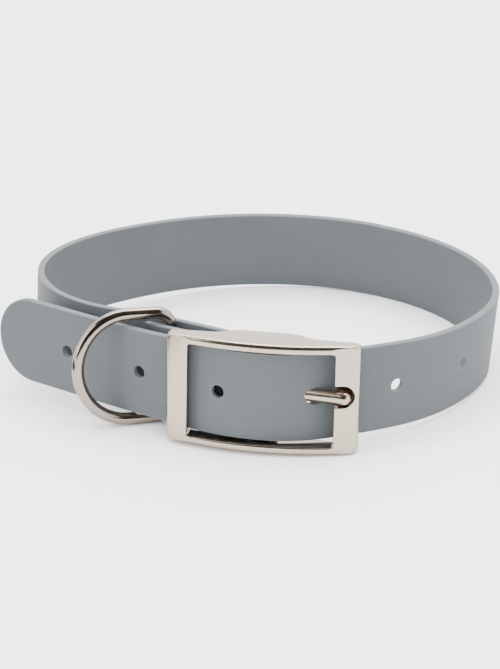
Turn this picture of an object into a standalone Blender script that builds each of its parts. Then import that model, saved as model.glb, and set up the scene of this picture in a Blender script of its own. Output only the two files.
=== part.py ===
"""Dog collar: a coated flat strap, buckled into a ring, with a cast buckle and a welded D-ring.

Collar space: origin on the buckle's front face, +X to the right along the buckle, +Y away from
the viewer into the ring, +Z up along the strap's width. The whole collar is then turned a little,
so that it stands on its three lowest points, with the origin under its middle. Metres throughout.
"""
import math

import bmesh
import bpy
import numpy as np
from mathutils import Matrix, Vector

# Strap
STRAP_WIDTH = 0.025
STRAP_THICKNESS = 0.002
HOLE_RADIUS = 0.00185
HOLE_PITCH = 0.0256
TIP_TO_FIRST_HOLE = 0.0258
HOLES_TOWARDS_TIP = 3
HOLES_PAST_PRONG = 2
RING_WIDTH = 0.135
RING_DEPTH = 0.126
TAIL_REACH = 0.083
FRONT_LEAN = math.radians(3.0)
LEAN_PIVOT = 0.007

# Buckle frame
FRAME_ARC_RADIUS = 0.069
FRAME_HALF_LENGTH = 0.0268
FRAME_HEIGHT = 0.0312
RAIL_HEIGHT = 0.0024
SIDE_BAR_WIDTH = 0.0064
FRAME_BACK = 0.0121
FRAME_CORNER = 0.0013
CENTRE_BAR_RADIUS = 0.00175
CENTRE_BAR_SETBACK = 0.0099
LEFT_BAR_DEPTH = 0.0033
RIGHT_BAR_DEPTH = 0.0042
BUCKLE_ROLL = math.radians(0.4)

# Prong
PRONG_RADIUS = 0.0016
PRONG_TIP_INSET = 0.0022
PRONG_TIP_SETBACK = 0.0040
PRONG_EYE_WALL = 0.0019
NOTCH_HALF_HEIGHT = 0.0030
NOTCH_LENGTH = 0.0049

# D-ring
RING_WIRE_RADIUS = 0.00172
RING_HALF_HEIGHT = 0.01566
RING_SHOULDER = 0.0121
RING_NOSE = 0.0147
RING_CORNER = 0.0034
RING_RISE = 0.0006
RING_SWING = math.radians(26.5)
BAR_TO_RING = 0.0307
DOUBLE_LAYER_ANGLE = math.radians(19.9)
FOLD_END_PAST_RING = 0.0058

# Rivets
RIVET_SHANK_RADIUS = 0.00125
RIVET_HEAD_RADIUS = 0.0030
RIVET_HEAD_THICKNESS = 0.0008
END_RIVET_SHANK_RADIUS = 0.0009
END_RIVET_HEAD_RADIUS = 0.0017
END_RIVET_PAST_RING = 0.0040

# Clearances
TOUCH_GAP = 0.0003
HINGE_GAP = 0.00045
WINDOW_STANDOFF = 0.0011
LEFT_BAR_STANDOFF = 0.0004
RIGHT_BAR_STANDOFF = 0.0030
SLOT_GAP = 0.0005
SLOT_REACH = 0.0070

# Meshing
STATION_LENGTH = 0.0068
STATION_TURN = math.radians(11)
TIP_STEPS = 7
HOLE_SIDES = 16
WIRE_SIDES = 12
ROD_SIDES = 16

# Ring of the strap from behind the D-ring, by the left side, the back and the right side, to the
# buckle. x is a share of RING_WIDTH, y of RING_DEPTH. lean is how far the strap's upper edge leans
# along x and y, as a share of its height above the middle.
RING_COLUMNS = ("x", "y", "lean_x", "lean_y")
RING_ROWS = (
    (-0.334, 0.219, 0.010, 0.045),
    (-0.430, 0.254, 0.020, 0.030),
    (-0.513, 0.328, 0.030, 0.015),
    (-0.561, 0.423, 0.035, 0.005),
    (-0.574, 0.515, 0.035, 0.000),
    (-0.559, 0.612, 0.032, -0.010),
    (-0.518, 0.706, 0.032, -0.022),
    (-0.446, 0.802, 0.040, -0.045),
    (-0.348, 0.893, 0.045, -0.080),
    (-0.193, 0.975, 0.030, -0.120),
    (-0.030, 1.000, 0.000, -0.135),
    (0.123, 0.971, -0.035, -0.120),
    (0.255, 0.890, -0.045, -0.080),
    (0.343, 0.791, -0.020, -0.035),
    (0.404, 0.660, 0.030, 0.000),
    (0.426, 0.504, 0.075, 0.000),
    (0.393, 0.352, 0.080, -0.015),
    (0.314, 0.214, 0.045, 0.000),
)

# Free end of the strap, left of the buckle. x and y are shares of TAIL_REACH, and hold is the
# share of the buckle's lean that the strap keeps there.
TAIL_COLUMNS = ("x", "y", "hold")
TAIL_ROWS = (
    (-0.392, 0.148, 0.55),
    (-0.553, 0.214, 0.25),
    (-0.753, 0.308, 0.0),
    (-0.936, 0.396, 0.0),
    (-1.000, 0.431, 0.0),
)

# Back of the buckle's rails, from its middle to its end: x is a share of FRAME_HALF_LENGTH and y
# of FRAME_BACK. The step is the lug that carries the centre bar.
RAIL_BACK_COLUMNS = ("x", "y")
RAIL_BACK_ROWS = (
    (0.00, 1.00),
    (0.24, 0.99),
    (0.36, 0.94),
    (0.42, 0.80),
    (0.50, 0.72),
    (1.00, 0.68),
)

FRAME_HALF_ARC_STEPS = 9
WINDOW_HALF_HEIGHT = FRAME_HEIGHT / 2 - RAIL_HEIGHT
WINDOW_HALF_LENGTH = FRAME_HALF_LENGTH - SIDE_BAR_WIDTH
PRONG_REACH = FRAME_HALF_LENGTH - PRONG_TIP_INSET
BAR_REACH = CENTRE_BAR_RADIUS + HINGE_GAP + STRAP_THICKNESS / 2
RING_REACH = RING_WIRE_RADIUS + HINGE_GAP + STRAP_THICKNESS / 2
LEAN_SHARE = math.tan(FRONT_LEAN)
CENTRE_BAR = Vector((0, CENTRE_BAR_SETBACK))
ALONG_LAYERS = Vector((-math.cos(DOUBLE_LAYER_ANGLE), math.sin(DOUBLE_LAYER_ANGLE)))
ACROSS_LAYERS = Vector((math.sin(DOUBLE_LAYER_ANGLE), math.cos(DOUBLE_LAYER_ANGLE)))
RING_BAR = CENTRE_BAR + ALONG_LAYERS * BAR_TO_RING
PRONG_SLOPE = (PRONG_TIP_SETBACK - CENTRE_BAR_SETBACK) / PRONG_REACH


def clear_scene():
    for thing in list(bpy.data.objects):
        bpy.data.objects.remove(thing, do_unlink=True)


def principled(name, colour, roughness, metallic):
    made = bpy.data.materials.new(name)
    made.use_nodes = True
    shader = made.node_tree.nodes["Principled BSDF"]
    shader.inputs["Base Color"].default_value = (*colour, 1)
    shader.inputs["Roughness"].default_value = roughness
    shader.inputs["Metallic"].default_value = metallic
    return made


def add_object(name, mesh, parent, material=None):
    """Links a mesh as an object under a parent; one with no material is a hidden cutter."""
    made = bpy.data.objects.new(name, mesh)
    bpy.context.collection.objects.link(made)
    made.parent = parent
    if material is None:
        made.hide_render = True
        made.display_type = "WIRE"
    else:
        mesh.materials.append(material)
        mesh.shade_smooth()
        mesh.set_sharp_from_angle(angle=math.radians(35))
    return made


def add_empty(name, parent, matrix):
    made = bpy.data.objects.new(name, None)
    bpy.context.collection.objects.link(made)
    made.parent = parent
    made.matrix_local = matrix
    return made


def combine(target, other, operation):
    """Adds a live Boolean; other is a cutter or a guide that the render leaves out."""
    step = target.modifiers.new(other.name, "BOOLEAN")
    step.operation = operation
    step.solver = "EXACT"
    step.object = other


def prism(outline, low, high):
    """Closed mesh: a counter-clockwise (x, y) outline carried straight up from z low to z high."""
    count = len(outline)
    points = [(x, y, low) for x, y in outline] + [(x, y, high) for x, y in outline]
    faces = [tuple(reversed(range(count))), tuple(range(count, 2 * count))]
    for k in range(count):
        after = (k + 1) % count
        faces.append((k, after, after + count, k + count))
    mesh = bpy.data.meshes.new("prism")
    mesh.from_pydata(points, [], faces)
    return mesh


def turned(profile, sides):
    """Closed mesh: (along, radius) points turned about Z; the first and last radius are 0."""
    points = [(0, 0, profile[0][0])]
    for along, radius in profile[1:-1]:
        for k in range(sides):
            angle = 2 * math.pi * k / sides
            points.append((radius * math.cos(angle), radius * math.sin(angle), along))
    points.append((0, 0, profile[-1][0]))
    rings = len(profile) - 2
    last = len(points) - 1
    faces = []
    for k in range(sides):
        after = (k + 1) % sides
        faces.append((0, 1 + after, 1 + k))
        for r in range(rings - 1):
            low = 1 + r * sides
            high = low + sides
            faces.append((low + k, low + after, high + after, high + k))
        top = 1 + (rings - 1) * sides
        faces.append((top + k, top + after, last))
    mesh = bpy.data.meshes.new("turned")
    mesh.from_pydata(points, [], faces)
    return mesh


def rod_profile(start, end, radius):
    return [(start, 0), (start, radius), (end, radius), (end, 0)]


def round_tip_profile(start, end, radius, steps=5):
    """A rod with a flat start and a half-round end."""
    profile = [(start, 0), (start, radius)]
    for k in range(steps):
        angle = math.pi / 2 * k / steps
        profile.append((end - radius + radius * math.sin(angle), radius * math.cos(angle)))
    profile.append((end, 0))
    return profile


def place_along(mesh, start, direction):
    """Turns a mesh made along Z to a direction and moves its origin to a start."""
    turn = Vector(direction).to_track_quat("Z", "Y").to_matrix().to_4x4()
    mesh.transform(Matrix.Translation(Vector(start)) @ turn)
    return mesh


def smooth_curve(knots, start_slope, steps):
    """Cubic spline through the rows of knots: a given slope at the start, free at the end."""
    knots = np.asarray(knots, float)
    spans = np.linalg.norm(np.diff(knots[:, :2], axis=0), axis=1)
    count = len(knots)
    system = np.zeros((count, count))
    right = np.zeros_like(knots)
    rates = np.diff(knots, axis=0) / spans[:, None]
    system[0, :2] = 2 * spans[0], spans[0]
    right[0] = 6 * (rates[0] - start_slope)
    for k in range(1, count - 1):
        system[k, k - 1:k + 2] = spans[k - 1], 2 * (spans[k - 1] + spans[k]), spans[k]
        right[k] = 6 * (rates[k] - rates[k - 1])
    system[-1, -1] = 1
    bends = np.linalg.solve(system, right)
    curve = []
    for k, span in enumerate(spans):
        t = np.linspace(0, 1, steps, endpoint=False)[:, None]
        cubic_a = ((1 - t) ** 3 - (1 - t)) * bends[k] + (t ** 3 - t) * bends[k + 1]
        curve.append((1 - t) * knots[k] + t * knots[k + 1] + span ** 2 / 6 * cubic_a)
    curve.append(knots[-1:])
    return np.vstack(curve)


def frame_front(x):
    """Setback of the buckle's arched front face at x."""
    return FRAME_ARC_RADIUS - math.sqrt(FRAME_ARC_RADIUS ** 2 - x ** 2)


def strap_route():
    """Rows of (x, y, lean_x, lean_y) from the folded-back end to past the strap's free tip."""
    lean = (0, LEAN_SHARE)
    fold_end = RING_BAR + ALONG_LAYERS * FOLD_END_PAST_RING
    front = [fold_end - ACROSS_LAYERS * RING_REACH]
    for k in range(13):
        turn = math.pi * k / 12
        spoke = -ACROSS_LAYERS * math.cos(turn) - ALONG_LAYERS * math.sin(turn)
        front.append(CENTRE_BAR + spoke * BAR_REACH)
    front = np.array([(*p, *lean) for p in front])

    bar_middle = FRAME_HALF_LENGTH - SIDE_BAR_WIDTH / 2
    behind_left = frame_front(bar_middle) + LEFT_BAR_DEPTH + STRAP_THICKNESS / 2
    behind_right = frame_front(bar_middle) + RIGHT_BAR_DEPTH + STRAP_THICKNESS / 2
    left_bar = (-bar_middle, behind_left + LEFT_BAR_STANDOFF)
    right_bar = (bar_middle, behind_right + RIGHT_BAR_STANDOFF)
    over_fold = CENTRE_BAR_SETBACK - BAR_REACH - STRAP_THICKNESS - WINDOW_STANDOFF
    window_half = WINDOW_HALF_LENGTH * 0.63
    right_window = (window_half, over_fold * 0.57 + right_bar[1] * 0.36)
    left_window = (-window_half, over_fold * 0.80 + left_bar[1] * 0.22)

    knots = [(*(RING_BAR + ALONG_LAYERS * FOLD_END_PAST_RING + ACROSS_LAYERS * RING_REACH), *lean)]
    for row in RING_ROWS:
        share = dict(zip(RING_COLUMNS, row))
        x, y = share["x"] * RING_WIDTH, share["y"] * RING_DEPTH
        knots.append((x, y, share["lean_x"], share["lean_y"]))
    for x, y in (right_bar, right_window, (0, over_fold), left_window, left_bar):
        knots.append((x, y, *lean))
    for row in TAIL_ROWS:
        share = dict(zip(TAIL_COLUMNS, row))
        x, y = share["x"] * TAIL_REACH, share["y"] * TAIL_REACH
        knots.append((x, y, 0, LEAN_SHARE * share["hold"]))
    ring = smooth_curve(knots, (*ALONG_LAYERS, 0, 0), 24)
    spare = ring[-1] + (ring[-1] - ring[-2]) * 80
    return np.vstack([front, ring, [spare]])


def strap_lengths(route):
    steps = np.linalg.norm(np.diff(route[:, :2], axis=0), axis=1)
    return np.concatenate([[0], np.cumsum(steps)])


def prong_crossing(route, lengths):
    """Length along the strap where the prong's line crosses it, right of the centre bar."""
    above = route[:, 1] - (CENTRE_BAR_SETBACK + PRONG_SLOPE * route[:, 0])
    inside = (route[:, 0] > WINDOW_HALF_LENGTH / 4) & (route[:, 0] < FRAME_HALF_LENGTH)
    inside &= lengths > lengths[-1] / 2
    found = np.flatnonzero(inside[:-1] & (above[:-1] > 0) & (above[1:] <= 0))[-1]
    share = above[found] / (above[found] - above[found + 1])
    return lengths[found] + share * (lengths[found + 1] - lengths[found])


class Strap:
    """The strap's middle surface, read at a length along it and a height across it."""

    def __init__(self):
        self.route = strap_route()
        self.lengths = strap_lengths(self.route)
        self.prong_hole = prong_crossing(self.route, self.lengths)
        to_tip = HOLES_TOWARDS_TIP * HOLE_PITCH + TIP_TO_FIRST_HOLE
        self.total = self.prong_hole + to_tip

    def row(self, length):
        return np.array([np.interp(length, self.lengths, column) for column in self.route.T])

    def axes(self, length):
        """Point, ruling and outward normal of the strap at a length."""
        x, y, lean_x, lean_y = self.row(length)
        step = STRAP_THICKNESS / 4
        ahead = self.row(length + step)[:2] - self.row(max(length - step, 0))[:2]
        ruling = Vector((lean_x, lean_y, 1)).normalized()
        normal = Vector((*ahead, 0)).cross(ruling).normalized()
        return Vector((x, y, 0)), ruling, normal

    def stations(self):
        """Lengths that stand closer together where the strap turns more."""
        headings = np.unwrap(np.arctan2(*np.diff(self.route[:, :2], axis=0).T[::-1]))
        turn = np.concatenate([[0], np.cumsum(np.abs(np.diff(headings))), [0]])
        turn[-1] = turn[-2]
        effort = self.lengths / STATION_LENGTH + turn / STATION_TURN
        last = np.interp(self.total - STRAP_WIDTH / 2, self.lengths, effort)
        count = math.ceil(last)
        return np.interp(np.linspace(0, last, count + 1), effort, self.lengths)


def strap_mesh(strap):
    """The strap's four-cornered section at each station; the free tip is half round."""
    half = STRAP_WIDTH / 2
    stations = [(length, half) for length in strap.stations()]
    for k in range(1, TIP_STEPS + 1):
        angle = math.pi / 2 * k / TIP_STEPS
        along = strap.total - half + half * math.sin(angle)
        stations.append((along, half * math.cos(angle)))
    bm = bmesh.new()
    rings = []
    for length, height in stations:
        point, ruling, normal = strap.axes(length)
        depth = normal * STRAP_THICKNESS / 2
        rise = ruling * height
        corners = (point + rise + depth, point - rise + depth,
                   point - rise - depth, point + rise - depth)
        rings.append([bm.verts.new(corner) for corner in corners])
    bm.faces.new(rings[0])
    for before, after in zip(rings, rings[1:]):
        for k in range(4):
            nxt = (k + 1) % 4
            bm.faces.new((before[nxt], before[k], after[k], after[nxt]))
    bmesh.ops.remove_doubles(bm, verts=rings[-1], dist=STRAP_THICKNESS / 100)
    bmesh.ops.recalc_face_normals(bm, faces=bm.faces)
    mesh = bpy.data.meshes.new("strap")
    bm.to_mesh(mesh)
    bm.free()
    return mesh


def hole_cutter(name, places, radius, depth, parent):
    """One round cutter through the strap at each (point, normal) place, joined as one object."""
    bm = bmesh.new()
    for point, normal in places:
        cutter = turned(rod_profile(-depth, depth, radius), HOLE_SIDES)
        bm.from_mesh(place_along(cutter, point, normal))
        bpy.data.meshes.remove(cutter)
    mesh = bpy.data.meshes.new(name)
    bm.to_mesh(mesh)
    bm.free()
    return add_object(name, mesh, parent)


def ruling_height(rise):
    """A point's move when it rises along the leaning front of the collar."""
    return Vector((0, math.sin(FRONT_LEAN), math.cos(FRONT_LEAN))) * rise


def prong_axis():
    start = Vector((0, CENTRE_BAR_SETBACK, 0))
    end = Vector((PRONG_REACH, PRONG_TIP_SETBACK, 0))
    return start, (end - start).normalized()


def rivet_places():
    """(point, along the shank) of the rivets on either side of the D-ring."""
    across = Vector((*ACROSS_LAYERS, 0))
    middle = CENTRE_BAR + ALONG_LAYERS * BAR_TO_RING / 2
    end = RING_BAR + ALONG_LAYERS * END_RIVET_PAST_RING
    return (Vector((*middle, 0)), across), (Vector((*end, 0)), across)


def make_strap(strap, parent, material):
    made = add_object("strap", strap_mesh(strap), parent, material)
    punched = []
    for k in range(-HOLES_PAST_PRONG, HOLES_TOWARDS_TIP + 1):
        point, _, normal = strap.axes(strap.prong_hole + k * HOLE_PITCH)
        punched.append((point, normal))
    combine(made, hole_cutter("cut_holes", punched, HOLE_RADIUS, STRAP_THICKNESS, parent),
            "DIFFERENCE")
    start, along = prong_axis()
    crossing = strap.axes(strap.prong_hole)[0]
    passing = [(crossing, along)]
    combine(made, hole_cutter("cut_prong_hole", passing, PRONG_RADIUS + TOUCH_GAP,
                              PRONG_REACH / 4, parent), "DIFFERENCE")
    slot_half = PRONG_RADIUS + SLOT_GAP
    fold_reach = BAR_REACH + STRAP_THICKNESS / 2 + SLOT_GAP
    slot = prism([(-SLOT_REACH, CENTRE_BAR_SETBACK - fold_reach),
                  (fold_reach, CENTRE_BAR_SETBACK - fold_reach),
                  (fold_reach, CENTRE_BAR_SETBACK + fold_reach),
                  (-SLOT_REACH, CENTRE_BAR_SETBACK + fold_reach)], -slot_half, slot_half)
    combine(made, add_object("cut_prong_slot", slot, parent), "DIFFERENCE")
    depth = RING_REACH + STRAP_THICKNESS
    middle, end = rivet_places()
    combine(made, hole_cutter("cut_rivet_hole", [middle], RIVET_SHANK_RADIUS + TOUCH_GAP,
                              depth, parent), "DIFFERENCE")
    combine(made, hole_cutter("cut_end_rivet_hole", [end], END_RIVET_SHANK_RADIUS + TOUCH_GAP,
                              depth, parent), "DIFFERENCE")
    return made


def frame_outline():
    """Plan of the buckle's rails: arched front, lugged back; counter-clockwise from below."""
    xs = np.linspace(-FRAME_HALF_LENGTH, FRAME_HALF_LENGTH, 2 * FRAME_HALF_ARC_STEPS + 1)
    outline = [(x, frame_front(x)) for x in xs]
    rows = [dict(zip(RAIL_BACK_COLUMNS, row)) for row in RAIL_BACK_ROWS]
    back = [(row["x"] * FRAME_HALF_LENGTH, row["y"] * FRAME_BACK) for row in rows]
    outline += [(x, y) for x, y in reversed(back)]
    outline += [(-x, y) for x, y in back[1:]]
    return outline


def relief_outline(depth):
    """Plan of the room behind a side bar, from the window to past the buckle's end."""
    xs = np.linspace(WINDOW_HALF_LENGTH - TOUCH_GAP, FRAME_HALF_LENGTH + TOUCH_GAP,
                     FRAME_HALF_ARC_STEPS)
    past = FRAME_BACK * 2
    return [(x, frame_front(x) + depth) for x in xs] + [(xs[-1], past), (xs[0], past)]


def rounded_rectangle(half_x, half_y, radius, steps=4):
    outline = []
    for corner in range(4):
        sign_x = 1 if corner in (0, 3) else -1
        sign_y = 1 if corner < 2 else -1
        for k in range(steps + 1):
            angle = math.pi / 2 * (corner + k / steps)
            outline.append((sign_x * (half_x - radius) + radius * math.cos(angle),
                            sign_y * (half_y - radius) + radius * math.sin(angle)))
    return outline


def front_prism(name, outline, low, high, parent):
    """A prism whose outline lies in X and Z and which runs back from y low to y high."""
    mesh = prism(outline, low, high)
    mesh.transform(Matrix.Rotation(math.radians(90), 4, "X"))
    mesh.transform(Matrix.Translation((0, low + high, 0)))
    return add_object(name, mesh, parent)


def notch_outline():
    """Half-round recess in the right bar that takes the prong's tip."""
    start = WINDOW_HALF_LENGTH - SIDE_BAR_WIDTH / 8
    centre = WINDOW_HALF_LENGTH + NOTCH_LENGTH - NOTCH_HALF_HEIGHT
    outline = [(start, NOTCH_HALF_HEIGHT), (start, -NOTCH_HALF_HEIGHT)]
    for k in range(9):
        angle = math.pi * (k / 8 - 0.5)
        outline.append((centre + NOTCH_HALF_HEIGHT * math.cos(angle),
                        NOTCH_HALF_HEIGHT * math.sin(angle)))
    return outline


def make_frame(parent, material):
    half = FRAME_HEIGHT / 2
    made = add_object("buckle_frame", prism(frame_outline(), -half, half), parent, material)
    past = FRAME_BACK * 2
    corners = rounded_rectangle(FRAME_HALF_LENGTH + TOUCH_GAP, half, FRAME_CORNER)
    combine(made, front_prism("keep_corners", corners, -past, past, parent), "INTERSECT")
    window = rounded_rectangle(WINDOW_HALF_LENGTH, WINDOW_HALF_HEIGHT, FRAME_CORNER / 2)
    combine(made, front_prism("cut_window", window, -past, past, parent), "DIFFERENCE")
    reach = WINDOW_HALF_HEIGHT + TOUCH_GAP
    behind = relief_outline(RIGHT_BAR_DEPTH)
    combine(made, add_object("cut_behind_right_bar", prism(behind, -reach, reach), parent),
            "DIFFERENCE")
    behind = [(-x, y) for x, y in reversed(relief_outline(LEFT_BAR_DEPTH))]
    combine(made, add_object("cut_behind_left_bar", prism(behind, -reach, reach), parent),
            "DIFFERENCE")
    floor = CENTRE_BAR_SETBACK + PRONG_RADIUS + TOUCH_GAP
    notch = front_prism("cut_notch", notch_outline(), -past, floor, parent)
    shear = Matrix.Identity(4)
    shear[1][0] = PRONG_SLOPE
    notch.data.transform(shear)
    combine(made, notch, "DIFFERENCE")
    bar_half = WINDOW_HALF_HEIGHT + RAIL_HEIGHT / 2
    bar = turned(rod_profile(-bar_half, bar_half, CENTRE_BAR_RADIUS), ROD_SIDES)
    bar.transform(Matrix.Translation((0, CENTRE_BAR_SETBACK, 0)))
    combine(made, add_object("add_centre_bar", bar, parent), "UNION")
    return made


def make_prong(parent, material):
    """A round tongue whose flat eye turns on the centre bar."""
    start, along = prong_axis()
    bore = CENTRE_BAR_RADIUS + TOUCH_GAP
    outer = bore + PRONG_EYE_WALL
    tongue = turned(round_tip_profile(bore + PRONG_EYE_WALL / 2, PRONG_REACH, PRONG_RADIUS),
                    WIRE_SIDES)
    made = add_object("prong", place_along(tongue, start, along), parent, material)
    middle = Matrix.Translation((0, CENTRE_BAR_SETBACK, 0))
    eye = turned(rod_profile(-PRONG_RADIUS, PRONG_RADIUS, outer), 2 * ROD_SIDES)
    eye.transform(middle)
    combine(made, add_object("add_eye", eye, parent), "UNION")
    hole = turned(rod_profile(-2 * PRONG_RADIUS, 2 * PRONG_RADIUS, bore), ROD_SIDES)
    hole.transform(middle)
    combine(made, add_object("cut_eye", hole, parent), "DIFFERENCE")
    return made


def ring_centre_line():
    """Closed (depth, height) line: straight bar, round corners, straight shoulders, round nose."""
    straight = RING_HALF_HEIGHT - RING_CORNER
    upper = [(0, 0)]
    for k in range(6):
        angle = math.pi / 2 * k / 5
        upper.append((RING_CORNER * (1 - math.cos(angle)), straight + RING_CORNER * math.sin(angle)))
    for k in range(1, 12):
        angle = math.pi / 2 * k / 12
        upper.append((RING_SHOULDER + RING_NOSE * math.sin(angle),
                      RING_HALF_HEIGHT * math.cos(angle)))
    upper.append((RING_SHOULDER + RING_NOSE, 0))
    lower = [(depth, -height) for depth, height in reversed(upper[1:-1])]
    return upper + lower


def make_d_ring(parent, material):
    """Wire carried round the D; the object's origin is on the axis of its straight bar."""
    line = np.array(ring_centre_line())
    ahead = np.roll(line, -1, axis=0) - np.roll(line, 1, axis=0)
    ahead /= np.linalg.norm(ahead, axis=1)[:, None]
    outward = np.stack([-ahead[:, 1], ahead[:, 0]], axis=1)
    bm = bmesh.new()
    rings = []
    for (depth, height), side in zip(line, outward):
        ring = []
        for k in range(WIRE_SIDES):
            angle = 2 * math.pi * (k + 0.5) / WIRE_SIDES
            along, off = math.cos(angle) * RING_WIRE_RADIUS, math.sin(angle) * RING_WIRE_RADIUS
            ring.append(bm.verts.new((-(depth + side[0] * along), off, height + side[1] * along)))
        rings.append(ring)
    for before, after in zip(rings, rings[1:] + rings[:1]):
        for k in range(WIRE_SIDES):
            nxt = (k + 1) % WIRE_SIDES
            bm.faces.new((before[k], before[nxt], after[nxt], after[k]))
    bmesh.ops.recalc_face_normals(bm, faces=bm.faces)
    mesh = bpy.data.meshes.new("d_ring")
    bm.to_mesh(mesh)
    bm.free()
    made = add_object("d_ring", mesh, parent, material)
    made.location = Vector((*RING_BAR, 0)) + ruling_height(RING_RISE)
    lean = Matrix.Rotation(-FRONT_LEAN, 4, "X")
    made.rotation_euler = (lean @ Matrix.Rotation(RING_SWING, 4, "Z")).to_euler()
    return made


def make_rivet(name, place, shank_radius, head_radius, reach, parent, material):
    """A plain post through both layers with a round head on each side."""
    inner = reach + STRAP_THICKNESS / 2 + TOUCH_GAP
    outer = inner + RIVET_HEAD_THICKNESS
    soft = RIVET_HEAD_THICKNESS / 3
    profile = [(-outer, 0), (-outer, head_radius - soft), (-outer + soft, head_radius),
               (-inner, head_radius), (-inner, shank_radius), (inner, shank_radius),
               (inner, head_radius), (outer - soft, head_radius), (outer, head_radius - soft),
               (outer, 0)]
    return add_object(name, place_along(turned(profile, ROD_SIDES), *place), parent, material)


def world_points(pieces):
    """Every corner of the finished pieces, as an array, with each piece's modifiers applied."""
    graph = bpy.context.evaluated_depsgraph_get()
    found = []
    for piece in pieces:
        shown = piece.evaluated_get(graph)
        matrix = shown.matrix_world
        found.append(np.array([matrix @ vertex.co for vertex in shown.data.vertices]))
    return found


def rest_matrix(strap_points, frame_points, ring_points):
    """Turns the collar to stand on the D-ring, the buckle's right end and the strap's back."""
    ring_foot = Vector(ring_points[ring_points[:, 2].argmin()])
    right_end = frame_points[frame_points[:, 0] > WINDOW_HALF_LENGTH]
    frame_foot = Vector(right_end[right_end[:, 2].argmin()])
    base = frame_foot - ring_foot
    level = Vector((base.y, -base.x, 0)).normalized()
    if level.y < 0:
        level.negate()
    offsets = strap_points - np.array(ring_foot)
    away = offsets @ np.array(level)
    slope = base.z / base.length
    lifts = offsets[:, 2] - slope * (offsets @ np.array(base.normalized()))
    behind = away > RING_DEPTH / 2
    foot = Vector(strap_points[behind][(lifts[behind] / away[behind]).argmin()])
    up = base.cross(foot - ring_foot).normalized()
    return up.rotation_difference(Vector((0, 0, 1))).to_matrix().to_4x4()


def build():
    clear_scene()
    coated = principled("coated_grey_strap", (0.27, 0.30, 0.31), 0.55, 0.0)
    nickel = principled("satin_nickel", (0.72, 0.68, 0.63), 0.28, 1.0)
    wire = principled("polished_nickel_wire", (0.74, 0.70, 0.65), 0.18, 1.0)

    collar = add_empty("collar", None, Matrix.Identity(4))
    pivot = Matrix.Translation((0, LEAN_PIVOT, 0))
    lean = Matrix.Rotation(-FRONT_LEAN, 4, "X") @ Matrix.Rotation(-BUCKLE_ROLL, 4, "Y")
    buckle = add_empty("buckle", collar, pivot @ lean @ pivot.inverted())

    route = Strap()
    strap = make_strap(route, collar, coated)
    frame = make_frame(buckle, nickel)
    prong = make_prong(buckle, nickel)
    ring = make_d_ring(collar, wire)
    middle, end = rivet_places()
    rivet = make_rivet("rivet_buckle_side", middle, RIVET_SHANK_RADIUS, RIVET_HEAD_RADIUS,
                       max(BAR_REACH, RING_REACH), collar, nickel)
    end_rivet = make_rivet("rivet_end_side", end, END_RIVET_SHANK_RADIUS, END_RIVET_HEAD_RADIUS,
                           RING_REACH, collar, nickel)

    pieces = [strap, frame, prong, ring, rivet, end_rivet]
    bpy.context.view_layer.update()
    points = world_points(pieces)
    collar.matrix_world = rest_matrix(points[0], points[1], points[3])
    bpy.context.view_layer.update()
    corners = np.vstack(world_points(pieces))
    low, high = corners.min(axis=0), corners.max(axis=0)
    middle = Vector(((low[0] + high[0]) / 2, (low[1] + high[1]) / 2, low[2]))
    collar.matrix_world = Matrix.Translation(-middle) @ collar.matrix_world


build()
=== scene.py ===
"""Grey dog collar, fastened: a coated flat strap, a cast buckle with its prong, and a D-ring.

Collar space has its origin on the buckle's front face, X to the right along the buckle, Y into the
loop and Z up along the strap's width. The whole collar is then turned a little so that it stands.
"""
import math

import bmesh
import bpy
import numpy as np
from mathutils import Matrix, Vector


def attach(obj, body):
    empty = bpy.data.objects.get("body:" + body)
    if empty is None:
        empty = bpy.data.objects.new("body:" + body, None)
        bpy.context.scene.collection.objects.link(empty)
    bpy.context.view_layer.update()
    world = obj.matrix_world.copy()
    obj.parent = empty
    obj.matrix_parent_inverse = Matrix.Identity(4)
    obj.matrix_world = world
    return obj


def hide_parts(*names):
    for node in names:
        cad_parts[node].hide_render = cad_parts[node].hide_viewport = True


bl_info = {
    "name": "Grey dog collar",
    "version": (1, 0, 0),
    "blender": (4, 5, 0),
    "location": "View3D > Sidebar > Collar",
    "description": "Builds a fastened dog collar with a buckle and a D-ring",
    "category": "Object",
}

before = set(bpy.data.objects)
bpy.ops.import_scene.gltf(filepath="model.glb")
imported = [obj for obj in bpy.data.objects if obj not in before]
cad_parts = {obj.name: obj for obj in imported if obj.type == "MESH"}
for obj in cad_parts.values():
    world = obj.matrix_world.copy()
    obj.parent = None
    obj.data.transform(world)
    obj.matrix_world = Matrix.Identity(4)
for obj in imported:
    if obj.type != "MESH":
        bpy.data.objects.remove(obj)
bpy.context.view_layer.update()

# How the collar stands: collar space's up direction and where its origin comes
COLLAR_UP = (-0.0251023, -0.0258167, 0.9993515)
COLLAR_PLACE = (0.0115042, -0.0635468, 0.0162973)
LEAN_PIVOT = 0.007

# Loop of the strap: x as a share of its width, y of its depth, and the upper edge's lean
RING_ROWS = (
    (-0.334, 0.219, 0.010, 0.045),
    (-0.430, 0.254, 0.020, 0.030),
    (-0.513, 0.328, 0.030, 0.015),
    (-0.561, 0.423, 0.035, 0.005),
    (-0.574, 0.515, 0.035, 0.000),
    (-0.559, 0.612, 0.032, -0.010),
    (-0.518, 0.706, 0.032, -0.022),
    (-0.446, 0.802, 0.040, -0.045),
    (-0.348, 0.893, 0.045, -0.080),
    (-0.193, 0.975, 0.030, -0.120),
    (-0.030, 1.000, 0.000, -0.135),
    (0.123, 0.971, -0.035, -0.120),
    (0.255, 0.890, -0.045, -0.080),
    (0.343, 0.791, -0.020, -0.035),
    (0.404, 0.660, 0.030, 0.000),
    (0.426, 0.504, 0.075, 0.000),
    (0.393, 0.352, 0.080, -0.015),
    (0.314, 0.214, 0.045, 0.000),
)
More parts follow.
